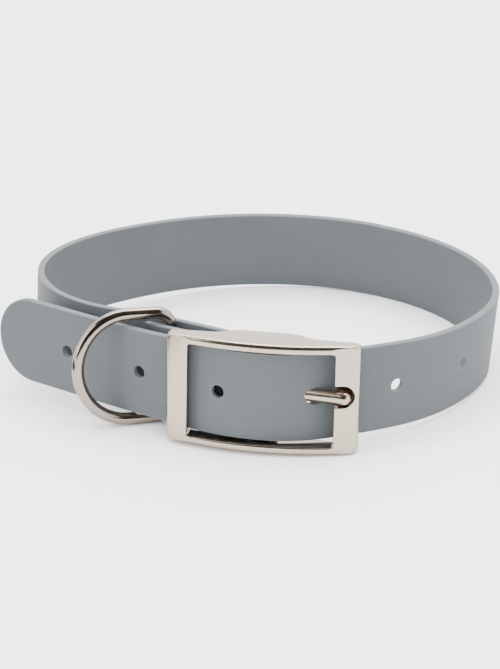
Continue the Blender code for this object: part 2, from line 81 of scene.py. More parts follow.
# Free end: x and y as shares of its reach, and the share of the buckle's lean that it keeps
TAIL_ROWS = (
    (-0.392, 0.148, 0.55),
    (-0.553, 0.214, 0.25),
    (-0.753, 0.308, 0.0),
    (-0.936, 0.396, 0.0),
    (-1.000, 0.431, 0.0),
)
# Back of the buckle's rails: x as a share of the half length, y of the lug's depth
RAIL_BACK_ROWS = ((0.00, 1.00), (0.24, 0.99), (0.36, 0.94), (0.42, 0.80), (0.50, 0.72), (1.00, 0.68))


def length(name, description, default):
    return bpy.props.FloatProperty(name=name, description=description, default=default,
                                   min=0.0, unit="LENGTH", precision=5)


def colour(name, description, default):
    return bpy.props.FloatVectorProperty(name=name, description=description, default=default,
                                         min=0.0, max=1.0, size=3, subtype="COLOR")


def amount(name, description, default):
    return bpy.props.FloatProperty(name=name, description=description, default=default,
                                   min=0.0, max=10.0, subtype="FACTOR")


class CollarStrap(bpy.types.PropertyGroup):
    """Sizes and colours of the strap."""
    width: length("Width", "Width of the strap", 0.025)
    thickness: length("Thickness", "Thickness of the strap", 0.002)
    edge: length("Edge", "How far the cut edge is rounded in from the side", 0.00045)
    loop_width: length("Loop width", "Widest inside measure of the loop", 0.135)
    loop_depth: length("Loop depth", "Loop from the buckle to the back", 0.126)
    tail_reach: length("Tail reach", "How far the free end reaches left of the buckle", 0.083)
    hole_radius: length("Hole radius", "Radius of the punched holes", 0.00185)
    hole_pitch: length("Hole pitch", "Distance between the holes", 0.0256)
    tip_to_hole: length("Tip to hole", "Free tip to the first hole", 0.0258)
    face_colour: colour("Face", "Colour of the coated faces", (0.073, 0.0820, 0.0890))
    cut_colour: colour("Cut edge", "Colour of the cut edges", (0.118, 0.131, 0.132))
    shine: amount("Roughness", "Roughness of the coating", 0.62)


class CollarBuckle(bpy.types.PropertyGroup):
    """Sizes and colours of the buckle and its prong."""
    arc_radius: length("Arc radius", "Radius of the arched front", 0.069)
    half_length: length("Half length", "Half of the buckle's arc length", 0.0268)
    height: length("Height", "Height of the buckle", 0.0312)
    rail: length("Rail", "Height of the rails", 0.0024)
    drop: length("Window drop", "How much thinner the lower rail is", 0.0003)
    side: length("Side bar", "Width of the side bars", 0.0064)
    back: length("Lug depth", "Depth of the rails at the centre bar", 0.0121)
    corner: length("Corner", "Radius of the outer corners", 0.0014)
    soft: length("Soft edge", "Radius of the long edges", 0.00042)
    front_soft: length("Front edge", "Radius of the front's outer edge", 0.0012)
    bar_radius: length("Bar radius", "Radius of the centre bar", 0.00175)
    bar_setback: length("Bar setback", "Centre bar behind the front face", 0.0099)
    left_depth: length("Left bar depth", "Depth of the left bar", 0.0033)
    right_depth: length("Right bar depth", "Depth of the right bar", 0.0042)
    prong_radius: length("Prong radius", "Half width of the prong", 0.00195)
    prong_inset: length("Prong inset", "Prong's tip inside the buckle's end", 0.0022)
    prong_tip: length("Prong tip setback", "Prong's tip behind the front face", 0.0040)
    notch_rise: length("Notch rise", "Notch's middle above the buckle's middle", 0.0011)
    notch_half: length("Notch half height", "Half height of the notch", 0.0027)
    notch_length: length("Notch length", "Length of the notch", 0.0049)
    metal: colour("Metal", "Colour of the satin nickel", (0.43, 0.355, 0.295))
    shine: amount("Roughness", "Roughness of the satin nickel", 0.19)


class CollarRing(bpy.types.PropertyGroup):
    """Sizes and colours of the D-ring and the hidden posts."""
    wire: length("Wire radius", "Radius of the ring's wire", 0.00172)
    half_height: length("Half height", "Half height of the ring", 0.0154)
    shoulder: length("Shoulder", "Length of the straight shoulders", 0.0121)
    nose: length("Nose", "Depth of the round nose", 0.0143)
    corner: length("Corner", "Radius of the bar's corners", 0.0042)
    rise: length("Rise", "Ring's middle above the strap's middle", 0.0002)
    from_bar: length("From centre bar", "Centre bar to the ring's bar", 0.0307)
    fold_end: length("Fold end", "Folded end past the ring's bar", 0.0058)
    post: length("Post radius", "Radius of the post heads", 0.0030)
    end_post: length("End post radius", "Radius of the end post's heads", 0.0017)
    # Darker than the buckle's nickel: painted shade that stands in for the dark surroundings the ring's
    # wire reflects
    metal: colour("Metal", "Colour of the polished nickel", (0.28, 0.238, 0.202))
    shine: amount("Roughness", "Roughness of the polished nickel", 0.14)


class CollarStage(bpy.types.PropertyGroup):
    """Floor, light and camera."""
    floor: colour("Floor", "Colour of the floor", (0.93, 0.93, 0.93))
    sky: amount("Sky", "Strength of the even light", 3.0)
    key: amount("Key", "Strength of the large light", 1.0)
    lens: bpy.props.FloatProperty(name="Lens", description="Focal length in millimetres",
                                  default=117.79, min=1.0)


FRONT_LEAN = math.radians(3.0)
BUCKLE_ROLL = math.radians(0.4)
LAYER_ANGLE = math.radians(19.9)
RING_SWING = math.radians(26.5)
HINGE_GAP = 0.00045
WINDOW_STANDOFF = 0.0011
LEFT_STANDOFF = 0.0004
RIGHT_STANDOFF = 0.0030
ALONG = np.array((-math.cos(LAYER_ANGLE), math.sin(LAYER_ANGLE)))
ACROSS = np.array((math.sin(LAYER_ANGLE), math.cos(LAYER_ANGLE)))

# The strap's lower hang: how much, at which x, and the bell's reach in x
SAG = 0.0003
SAG_PLACE = 0.009
SAG_REACH = 0.012

# Rows along the strap: their spacing between holes and beside them
ROW_STEP = 0.0012
BLOCK_STEP = 0.0007
# Block of the faces left out round a hole: half its height, and its cells; the hole's soft rim
HOLE_BLOCK = 0.0042
HOLE_CELLS = 12
HOLE_RIM = 0.00022
# Slot in the fold and hole for the prong: half the straight length, and the clearance
SLOT_HALF = 0.0095
SLOT_GAP = 0.0004
PRONG_HOLE_HALF = 0.0006
PRONG_HOLE_GAP = 0.0002

# Frame: window corner, margins of its evenly divided runs, and the blend from bar to rail
WINDOW_CORNER = 0.0009
KEEP_X = 0.0016
KEEP_Z = 0.0022
BLEND_START = 0.0014
BLEND_LENGTH = 0.0012
# Notch: flare at the front, overrun into the window, and gaps behind and beside the prong
NOTCH_FLARE = 0.0007
NOTCH_OVERRUN = 0.0012
NOTCH_FLOOR_GAP = 0.0003
NOTCH_SIDE_GAP = 0.0002

# Prong: its line below the middle at the bar, and below the notch's middle at the tip
TONGUE_ROOT_DROP = 0.0004
TONGUE_TIP_DROP = 0.0003
TONGUE_START = 0.0030
EYE_GAP = 0.0003
EYE_THICK = 0.00095
EYE_HALF_HEIGHT = 0.0015

# Posts: rise of the heads, radii of the shanks, and the end post past the ring's bar
POST_RISE = 0.0008
POST_SHANK = 0.00125
END_POST_SHANK = 0.0009
END_POST_PLACE = 0.0040

# Corners of the black cards that the metal reflects
CARDS = (
    ("card_by_camera", ((-1.3, -1.2, 0.02), (1.3, -1.2, 0.02), (1.2, -0.9, 0.85),
                        (-1.2, -0.9, 0.85))),
    ("card_above", ((-1.2, -0.9, 0.85), (1.2, -0.9, 0.85), (1.0, 0.0, 1.0), (-1.0, 0.0, 1.0))),
    ("card_on_floor", ((-0.30, -0.16, 0.001), (-0.105, -0.16, 0.001), (-0.095, -0.02, 0.001),
                       (-0.30, -0.02, 0.001))),
)

# Camera: where it stands, what it looks at, and its turn about the line of sight
CAMERA_PLACE = (0.110929, -0.59528, 0.2594)
CAMERA_AIM = (0.000323, -0.01502, 0.015186)
CAMERA_ROLL = math.radians(-0.771)


def settings(name):
    return getattr(bpy.context.scene, name)


def unit(rows):
    return rows / np.linalg.norm(rows, axis=-1, keepdims=True)


def stand(points):
    """Collar space to the world: a turn that brings the collar's up direction to Z, and a move."""
    turn = Vector(COLLAR_UP).rotation_difference(Vector((0, 0, 1))).to_matrix()
    return points @ np.array(turn).T + np.array(COLLAR_PLACE)


def lean_buckle(points):
    """Buckle space to collar space: a roll about Y, then a lean about X through the pivot."""
    pivot = np.array((0, LEAN_PIVOT, 0))
    turn = Matrix.Rotation(-FRONT_LEAN, 3, "X") @ Matrix.Rotation(-BUCKLE_ROLL, 3, "Y")
    return (points - pivot) @ np.array(turn).T + pivot


def grid_quads(rows, columns, close_columns=False, close_rows=False):
    """Corner numbers of the quads of a rows by columns grid, as an array of fours."""
    r = np.arange(rows if close_rows else rows - 1)[:, None]
    c = np.arange(columns if close_columns else columns - 1)[None, :]
    after_r, after_c = (r + 1) % rows, (c + 1) % columns
    return np.stack(np.broadcast_arrays(r * columns + c, r * columns + after_c,
                                        after_r * columns + after_c, after_r * columns + c), -1)


def add_piece(name, points, faces, material, caps=(), maps=None, weld=1e-6, sharp=50.0):
    """Puts arrays of points and quads into a mesh, welds its seams and turns its faces outwards.

    maps holds (u, v, cut) for each point: a UV map and the share of cut edge, for the finish.
    """
    mesh = bpy.data.meshes.new(name)
    mesh.from_pydata(points.reshape(-1, 3).tolist(), [],
                     faces.reshape(-1, 4).tolist() + [list(cap) for cap in caps])
    if maps is not None:
        flat = maps.reshape(-1, 3)
        corners = np.empty(len(mesh.loops), np.int32)
        mesh.loops.foreach_get("vertex_index", corners)
        layer = mesh.uv_layers.new(name="along_and_across")
        layer.data.foreach_set("uv", flat[corners, :2].astype(np.float32).ravel())
        cut = mesh.attributes.new("cut_edge", "FLOAT", "POINT")
        cut.data.foreach_set("value", flat[:, 2].astype(np.float32))
    bm = bmesh.new()
    bm.from_mesh(mesh)
    bmesh.ops.remove_doubles(bm, verts=bm.verts, dist=weld)
    bmesh.ops.recalc_face_normals(bm, faces=bm.faces)
    bm.to_mesh(mesh)
    bm.free()
    mesh.materials.append(material)
    mesh.shade_smooth()
    mesh.set_sharp_from_angle(angle=math.radians(sharp))
    made = bpy.data.objects.new(name, mesh)
    bpy.context.scene.collection.objects.link(made)
    return made


def shape_with(made, other, operation, sharp=50.0):
    """Joins or cuts one piece with another once and for all, and removes the other."""
    step = made.modifiers.new("shape", "BOOLEAN")
    step.operation = operation
    step.solver = "EXACT"
    step.object = other
    bpy.context.view_layer.update()
    shown = made.evaluated_get(bpy.context.evaluated_depsgraph_get())
    mesh = bpy.data.meshes.new_from_object(shown)
    made.modifiers.clear()
    made.data = mesh
    bpy.data.objects.remove(other)
    mesh.shade_smooth()
    mesh.set_sharp_from_angle(angle=math.radians(sharp))
    if len(mesh.polygons) == 0:
        raise RuntimeError("a joined piece came out empty")
    return made


def smooth_curve(knots, start_slope, steps):
    """Cubic spline through the rows of knots: a given slope at the start, free at the end."""
    knots = np.asarray(knots, float)
    spans = np.linalg.norm(np.diff(knots[:, :2], axis=0), axis=1)
    count = len(knots)
    system = np.zeros((count, count))
    right = np.zeros_like(knots)
    rates = np.diff(knots, axis=0) / spans[:, None]
    system[0, :2] = 2 * spans[0], spans[0]
    right[0] = 6 * (rates[0] - start_slope)
    for k in range(1, count - 1):
        system[k, k - 1:k + 2] = spans[k - 1], 2 * (spans[k - 1] + spans[k]), spans[k]
        right[k] = 6 * (rates[k] - rates[k - 1])
    system[-1, -1] = 1
    bends = np.linalg.solve(system, right)
    curve = []
    for k, span in enumerate(spans):
        t = np.linspace(0, 1, steps, endpoint=False)[:, None]
        cubic = ((1 - t) ** 3 - (1 - t)) * bends[k] + (t ** 3 - t) * bends[k + 1]
        curve.append((1 - t) * knots[k] + t * knots[k + 1] + span ** 2 / 6 * cubic)
    curve.append(knots[-1:])
    return np.vstack(curve)


def buckle_front(x, buckle):
    """Setback of the arched front at x: an arc of the buckle's radius."""
    return buckle.arc_radius - np.sqrt(buckle.arc_radius ** 2 - np.asarray(x) ** 2)


def strap_route():
    """Rows of (x, y, lean_x, lean_y) from the folded-back end to past the free tip."""
    strap, buckle, ring = settings("collar_strap"), settings("collar_buckle"), settings("collar_ring")
    bar = np.array((0, buckle.bar_setback))
    ring_bar = bar + ALONG * ring.from_bar
    bar_reach = buckle.bar_radius + HINGE_GAP + strap.thickness / 2
    ring_reach = ring.wire + HINGE_GAP + strap.thickness / 2
    lean = (0, math.tan(FRONT_LEAN))
    turn = np.linspace(0, math.pi, 49)[:, None]
    fold = bar + (-ACROSS * np.cos(turn) - ALONG * np.sin(turn)) * bar_reach
    start = ring_bar + ALONG * ring.fold_end - ACROSS * ring_reach
    front = np.vstack([start, fold])
    front = np.hstack([front, np.broadcast_to(lean, front.shape)])

    window_half = buckle.half_length - buckle.side
    bar_middle = buckle.half_length - buckle.side / 2
    behind = buckle_front(bar_middle, buckle) + strap.thickness / 2
    left_bar = (-bar_middle, behind + buckle.left_depth + LEFT_STANDOFF)
    right_bar = (bar_middle, behind + buckle.right_depth + RIGHT_STANDOFF)
    over_fold = buckle.bar_setback - bar_reach - strap.thickness - WINDOW_STANDOFF
    window = window_half * 0.63
    knots = [(*(ring_bar + ALONG * ring.fold_end + ACROSS * ring_reach), *lean)]
    knots += [(x * strap.loop_width, y * strap.loop_depth, lx, ly) for x, y, lx, ly in RING_ROWS]
    knots += [(x, y, *lean) for x, y in (
        right_bar, (window, over_fold * 0.57 + right_bar[1] * 0.36), (0, over_fold),
        (-window, over_fold * 0.80 + left_bar[1] * 0.22), left_bar)]
    knots += [(x * strap.tail_reach, y * strap.tail_reach, 0, lean[1] * hold)
              for x, y, hold in TAIL_ROWS]
    loop = smooth_curve(knots, (*ALONG, 0, 0), 24)
    spare = loop[-1] + (loop[-1] - loop[-2]) * 80
    return np.vstack([front, loop, [spare]])


class StrapSurface:
    """The strap's bent sheet: a point for each length along, height across and depth through it."""

    def __init__(self):
        strap, buckle = settings("collar_strap"), settings("collar_buckle")
        self.route = strap_route()
        steps = np.linalg.norm(np.diff(self.route[:, :2], axis=0), axis=1)
        self.lengths = np.concatenate([[0], np.cumsum(steps)])
        x, y = self.route[:, 0], self.route[:, 1]
        reach = buckle.half_length - buckle.prong_inset
        self.prong_slope = (buckle.prong_tip - buckle.bar_setback) / reach
        above = y - (buckle.bar_setback + self.prong_slope * x)
        inside = (x > (buckle.half_length - buckle.side) / 4) & (x < buckle.half_length)
        inside &= self.lengths > self.lengths[-1] / 2
        found = np.flatnonzero(inside[:-1] & (above[:-1] > 0) & (above[1:] <= 0))[-1]
        share = above[found] / (above[found] - above[found + 1])
        self.prong_hole = self.lengths[found] + share * (self.lengths[found + 1] - self.lengths[found])
        self.total = self.prong_hole + 3 * strap.hole_pitch + strap.tip_to_hole

    def row(self, along):
        return np.stack([np.interp(along, self.lengths, column) for column in self.route.T], -1)

    def at(self, along, height, depth):
        """Middle line, plus height up the ruling, plus depth along the outward normal.

        The second half of the route also hangs lower, by a bell of its x that is deepest right of
        the window's middle. The bell reaches the back of the loop too, where that half starts with
        a step of 0.18 mm.
        """
        along = np.asarray(along, float)
        row = self.row(along)
        step = 0.0005
        ahead = self.row(along + step)[..., :2] - self.row(np.maximum(along - step, 0))[..., :2]
        ahead = np.concatenate([ahead, np.zeros_like(ahead[..., :1])], -1)
        ruling = unit(np.stack([row[..., 2], row[..., 3], np.ones_like(row[..., 0])], -1))
        outward = unit(np.cross(ruling, ahead))
        bell = np.exp(-((row[..., 0] - SAG_PLACE) / SAG_REACH) ** 2)
        sag = -SAG * (along > self.lengths[-1] / 2) * bell
        middle = np.concatenate([row[..., :2], sag[..., None]], -1)
        return middle + ruling * np.asarray(height)[..., None] + outward * np.asarray(depth)[..., None]


def strap_section(strap, columns):
    """Closed section: (share of the face's half width, reach past it, side, depth) columns.

    The faces are flat; each cut edge is a squared-off round, the powers of a cosine and a sine.
    """
    half_thick = strap.thickness / 2
    turn = np.linspace(math.pi / 2, -math.pi / 2, 15)[1:-1]
    reach = strap.edge * np.cos(turn) ** 0.42
    depth = half_thick * np.sign(np.sin(turn)) * np.abs(np.sin(turn)) ** 0.55
    zero = np.zeros_like(columns)
    front = np.stack([columns, zero, zero, zero + half_thick], -1)
    upper = np.stack([np.ones_like(reach), reach, reach, depth], -1)
    back = np.stack([columns[::-1], zero, zero, zero - half_thick], -1)
    lower = np.stack([-np.ones_like(reach), -reach, reach, -depth], -1)
    return np.vstack([front, upper, back, lower])


def make_strap(material):
    """A section carried along the bent sheet, with a rounded free end and real punched holes.

    Round each hole a block of both faces is left out. A ring of quads fills it: its outer side is
    the block's edge and its inner side a circle, or a long round for the prong, and it runs over
    a soft rim and down the hole's wall. All of it is worked out flat and then bent with the sheet.
    """
    strap, buckle = settings("collar_strap"), settings("collar_buckle")
    sheet = StrapSurface()
    face_half = strap.width / 2 - strap.edge
    block = HOLE_BLOCK
    cells = HOLE_CELLS
    inner = np.linspace(-1, 1, cells + 1) * block
    outer = np.linspace(block, face_half, 8)[1:]
    heights = np.concatenate([-outer[::-1], inner, outer])
    section = strap_section(strap, heights / face_half)
    count = len(section)

    fold = np.linalg.norm(sheet.route[1, :2] - sheet.route[0, :2])
    bend = buckle.bar_radius + HINGE_GAP + strap.thickness / 2
    step = 0.0004
    here = sheet.at(np.array([sheet.prong_hole - step, sheet.prong_hole + step]), np.zeros(2),
                    np.zeros(2))
    run = unit(here[1] - here[0])[:2]
    prong = unit(np.array((1.0, sheet.prong_slope)))
    slant = abs(float(np.dot(run, prong))) / max(abs(float(run[0] * prong[1] - run[1] * prong[0])), 0.2)
    holes = [(fold + math.pi / 2 * bend, SLOT_HALF, buckle.prong_radius + SLOT_GAP, 0.0)]
    for k in (-2, -1, 1, 2, 3):
        holes.append((sheet.prong_hole + k * strap.hole_pitch, 0.0, strap.hole_radius, 0.0))
    holes.append((sheet.prong_hole, PRONG_HOLE_HALF, buckle.prong_radius + PRONG_HOLE_GAP,
                  -min(slant, 1.6) * strap.thickness / 2))
    holes.sort()

    blocks = []
    for centre, core, radius, slide in holes:
        half = core + block
        rows = 2 * max(round(half / BLOCK_STEP), cells // 2)
        blocks.append((centre, half, rows, core, radius, slide))
    alongs = []
    place = 0.0
    for centre, half, rows, core, radius, slide in blocks:
        gap = centre - half - place
        free = max(round(gap / ROW_STEP), 1)
        alongs.append(np.linspace(place, centre - half, free, endpoint=False))
        alongs.append(np.linspace(centre - half, centre + half, rows, endpoint=False))
        place = centre + half
    body_end = sheet.total - strap.width / 2
    alongs.append(np.linspace(place, body_end, max(round((body_end - place) / ROW_STEP), 2)))
    along = np.concatenate(alongs)
    tip = np.linspace(0, math.pi / 2, 33)[1:]
    swing = np.concatenate([np.zeros_like(along), tip])
    along = np.concatenate([along, np.full_like(tip, body_end)])

    share, reach, side, depth = section.T
    narrow = np.cos(swing)[:, None]
    pushed = np.sin(swing)[:, None] * (face_half + side[None, :])
    s = along[:, None] + pushed
    h = (share * face_half + reach)[None, :] * narrow
    d = np.broadcast_to(depth, s.shape)
    cut = np.broadcast_to((side > strap.edge * 0.5) * 1.0, s.shape)
    maps = np.stack([s / strap.width, h / strap.width + 0.5, cut], -1)
    points = sheet.at(s, h, d)
    quads = grid_quads(len(along), count, close_columns=True)

    middle_s = (s[:-1] + s[1:]) / 2
    keep = np.ones(quads.shape[:2], bool)
    columns = len(heights)
    inside_front = np.zeros(count, bool)
    first = len(outer)
    inside_front[first:first + cells] = True
    back_start = columns + 13
    inside_back = np.zeros(count, bool)
    inside_back[back_start + first:back_start + first + cells] = True
    for centre, half, rows, core, radius, slide in blocks:
        row_inside = np.abs(middle_s[:, 0] - centre) < half
        keep &= ~(row_inside[:, None] & (inside_front | inside_back)[None, :])

    parts = [points.reshape(-1, 3)]
    faces = [quads[keep]]
    values = [maps.reshape(-1, 3)]
    offset = len(parts[0])
    for centre, half, rows, core, radius, slide in blocks:
        ring_s, ring_h, ring_d, ring_cut = hole_ring(strap, half, rows, block, cells, core, radius,
                                                     slide)
        ring_points = sheet.at(centre + ring_s, ring_h, ring_d)
        parts.append(ring_points.reshape(-1, 3))
        faces.append(grid_quads(*ring_s.shape, close_rows=True).reshape(-1, 4) + offset)
        values.append(np.stack([(centre + ring_s) / strap.width, ring_h / strap.width + 0.5,
                                ring_cut], -1).reshape(-1, 3))
        offset += ring_s.size
    start_cap = [tuple(range(count))]
    world = stand(np.vstack(parts))
    made = add_piece("coated_strap", world, np.vstack([f.reshape(-1, 4) for f in faces]), material,
                     caps=start_cap, maps=np.vstack(values), weld=4e-6, sharp=55)
    return made


def hole_ring(strap, half, rows, block, cells, core, radius, slide):
    """Ring of points from a block's edge to a hole: (edge sample, step inwards) grids.

    Each edge sample runs straight towards the nearest point of the hole's core line, then over a
    quarter-round rim and down the wall to the other face.
    """
    a = np.linspace(-half, half, rows + 1)
    b = np.linspace(-block, block, cells + 1)
    edge_s = np.concatenate([a[:-1], np.full(cells, half), a[::-1][:-1], np.full(cells, -half)])
    edge_h = np.concatenate([np.full(rows, -block), b[:-1], np.full(rows, block), b[::-1][:-1]])
    core_s = np.clip(edge_s * (core / half if core else 0) * 1.35, -core, core)
    out = np.stack([edge_s - core_s, edge_h], -1)
    reach = np.linalg.norm(out, axis=-1)
    out = out / reach[:, None]
    half_thick = strap.thickness / 2
    rim = HOLE_RIM
    falls = np.linspace(0, 1, 6)[:, None]
    turn = np.linspace(0, math.pi / 2, 5)[:, None]
    flat_r = reach[None, :] * (1 - falls) + (radius + rim) * falls
    rim_r = radius + rim * (1 - np.sin(turn[1:])) + 0 * reach[None, :]
    rim_d = half_thick - rim * (1 - np.cos(turn[1:])) + 0 * reach[None, :]
    front_r = np.vstack([flat_r, rim_r])
    front_d = np.vstack([np.full_like(flat_r, half_thick), rim_d])
    weight = np.concatenate([falls[:, 0] ** 2, np.ones(len(turn) - 1)])[:, None]
    r = np.vstack([front_r, front_r[::-1]])
    d = np.vstack([front_d, -front_d[::-1]])
    move = np.vstack([weight, -weight[::-1]]) * slide
    cut = np.concatenate([np.zeros(len(falls)), np.ones(len(turn) - 1)])
    cut = np.concatenate([cut, cut[::-1]])[:, None] + 0 * r
    s = core_s[None, :] + out[:, 0][None, :] * r + move
    h = out[:, 1][None, :] * r
    return s.T, h.T, d.T, cut.T


def corner_path(half_x, half_z, radius, keep_x, keep_z, counts):
    """Rounded rectangle in X and Z, counter-clockwise from the right bar's middle.

    Its straight runs are evenly divided within keep_x and keep_z of the middle, so that two such
    paths of different size have their samples opposite each other there.
    """
    straight_x, straight_z = half_x - radius, half_z - radius
    n_mid, n_end, n_arc = counts
    z = np.concatenate([np.linspace(-straight_z, -keep_z, n_end, endpoint=False),
                        np.linspace(-keep_z, keep_z, n_mid, endpoint=False),
                        np.linspace(keep_z, straight_z, n_end, endpoint=False)])
    x = np.concatenate([np.linspace(straight_x, keep_x, n_end, endpoint=False),
                        np.linspace(keep_x, -keep_x, 3 * n_mid, endpoint=False),
                        np.linspace(-keep_x, -straight_x, n_end, endpoint=False)])
    arc = np.linspace(0, math.pi / 2, n_arc, endpoint=False)
    sides = []
    for quarter in range(4):
        turn = arc + quarter * math.pi / 2
        if quarter == 0:
            run = np.stack([np.full_like(z, half_x), z], -1)
        elif quarter == 1:
            run = np.stack([x, np.full_like(x, half_z)], -1)
        elif quarter == 2:
            run = np.stack([np.full_like(z, -half_x), -z], -1)
        else:
            run = np.stack([-x, np.full_like(x, -half_z)], -1)
        sx, sz = ((1, 1), (-1, 1), (-1, -1), (1, -1))[quarter]
        bow = np.stack([sx * straight_x + radius * np.cos(turn), sz * straight_z + radius * np.sin(turn)],
                       -1)
        sides += [run, bow]
    return np.vstack(sides)


def make_frame(material):
    """A soft-cornered section carried round the window, from the window's edge to the outside.

    Its front follows the arch, its back the rails' lug profile, and the side bars are shallower.
    A recess takes the prong's tip and the centre bar runs from rail to rail.
    """
    buckle = settings("collar_buckle")
    half_z = buckle.height / 2
    window_x, window_z = buckle.half_length - buckle.side, half_z - buckle.rail
    keep_x, keep_z = window_x - KEEP_X, window_z - KEEP_Z
    counts = (24, 8, 7)
    outside = corner_path(buckle.half_length, half_z, buckle.corner, keep_x, keep_z, counts)
    inside = corner_path(window_x, window_z, WINDOW_CORNER, keep_x, keep_z, counts)
    lower = inside[:, 1] < 0
    inside[lower, 1] *= 1 + buckle.drop / window_z
    wide = np.linalg.norm(outside - inside, axis=1)[:, None]
    soft, bold = buckle.soft, buckle.front_soft
    turn = np.linspace(0, math.pi / 2, 6)
    u = np.linspace(0, 1, 9)[1:-1]
    m = np.linspace(0, 1, 7)[1:-1]
    rows = []
    rows += [(0, soft * (1 - math.cos(t)), 0, soft * (1 - math.sin(t))) for t in turn]
    rows += [(k, soft * (1 - k) - bold * k, 0, 0) for k in u]
    bow = np.linspace(math.pi / 2, 0, 12)
    rows += [(1, -bold * (1 - math.cos(t)), 0, bold * (1 - math.sin(t))) for t in bow]
    rows += [(1, 0, k, bold * (1 - k) - soft * k) for k in m]
    rows += [(1, -soft * (1 - math.cos(t)), 1, -soft * (1 - math.sin(t))) for t in turn]
    rows += [(k, soft * (1 - 2 * k), 1, 0) for k in u[::-1]]
    rows += [(0, soft * (1 - math.cos(t)), 1, -soft * (1 - math.sin(t))) for t in turn[::-1]]
    rows += [(0, 0, k, soft * (1 - 2 * k)) for k in m[::-1]]
    wide_share, wide_add, deep_share, deep_add = np.array(rows).T
    away = wide * wide_share + wide_add
    plan = inside[:, None, :] + (outside - inside)[:, None, :] * (away / wide)[..., None]
    x, z = plan[..., 0], plan[..., 1]
    front = buckle_front(x, buckle)
    shares = np.array(RAIL_BACK_ROWS)
    rail_back = buckle.back * np.interp(np.abs(x) / buckle.half_length, shares[:, 0], shares[:, 1])
    bar_depth = np.where(x > 0, buckle.right_depth, buckle.left_depth)
    bar_back = np.minimum(front + bar_depth, rail_back)
    level = np.minimum(np.abs(inside[:, 1]), window_z)[:, None]
    at_rail = np.clip((level - (window_z - BLEND_START)) / BLEND_LENGTH, 0, 1)
    at_rail = at_rail * at_rail * (3 - 2 * at_rail)
    at_rail = np.where(np.abs(inside[:, 0])[:, None] < keep_x + 1e-6, 1.0, at_rail)
    back = bar_back * (1 - at_rail) + rail_back * at_rail
    y = front * (1 - deep_share) + back * deep_share + deep_add
    points = stand(lean_buckle(np.stack([x, y, z], -1)))
    made = add_piece("cast_frame", points, grid_quads(*x.shape, True, True), material, sharp=48)

    bar_half = window_z + buckle.rail / 2 + buckle.drop / 2
    bar = rod("bar", np.array((0, buckle.bar_setback, -bar_half)),
              np.array((0, buckle.bar_setback, bar_half)), buckle.bar_radius, material)
    shape_with(made, bar, "UNION", 48)
    shape_with(made, notch_cutter(buckle, window_x, material), "DIFFERENCE", 48)
    return made


def notch_cutter(buckle, window_x, material):
    """A half-round recess that flares at the front: rings of one outline at rising depths.

    A level is a depth behind the front and a flare; the last one is the recess's sloping floor.
    """
    slope = (buckle.prong_tip - buckle.bar_setback) / (buckle.half_length - buckle.prong_inset)
    turn = np.linspace(-math.pi / 2, math.pi / 2, 25)
    centre = window_x + buckle.notch_length - buckle.notch_half
    start = window_x - NOTCH_OVERRUN
    floor = buckle.bar_setback + buckle.prong_radius + NOTCH_FLOOR_GAP
    levels = ((-0.004, NOTCH_FLARE), (0.0001, NOTCH_FLARE), (0.0009, 0.0), (None, 0.0))
    rings = []
    for depth, flare in levels:
        reach = buckle.notch_half - NOTCH_SIDE_GAP + flare
        px = np.concatenate([[start], centre + reach * np.cos(turn), [start]])
        pz = np.concatenate([[-reach], reach * np.sin(turn), [reach]])
        low = floor + slope * px
        py = low if depth is None else buckle_front(px, buckle) + depth
        rings.append(np.stack([px, py, pz + buckle.notch_rise], -1))
    points = np.stack(rings)
    count = points.shape[1]
    last = 3 * count
    caps = [tuple(range(count)), tuple(range(last, last + count))]
    world = stand(lean_buckle(points))
    return add_piece("notch", world, grid_quads(4, count, close_columns=True), material, caps)


def rod(name, start, end, radius, material):
    """A plain round bar in buckle space: a circle carried from one end to the other."""
    turn = np.linspace(0, 2 * math.pi, 48, endpoint=False)
    t = np.linspace(0, 1, 2)[:, None]
    middle = start + (end - start) * t[..., None]
    circle = np.stack([np.cos(turn), np.sin(turn), 0 * turn], -1) * radius
    points = stand(lean_buckle(middle + circle))
    caps = [tuple(range(48)), tuple(range(48, 96))]
    return add_piece(name, points, grid_quads(2, 48, close_columns=True), material, caps)


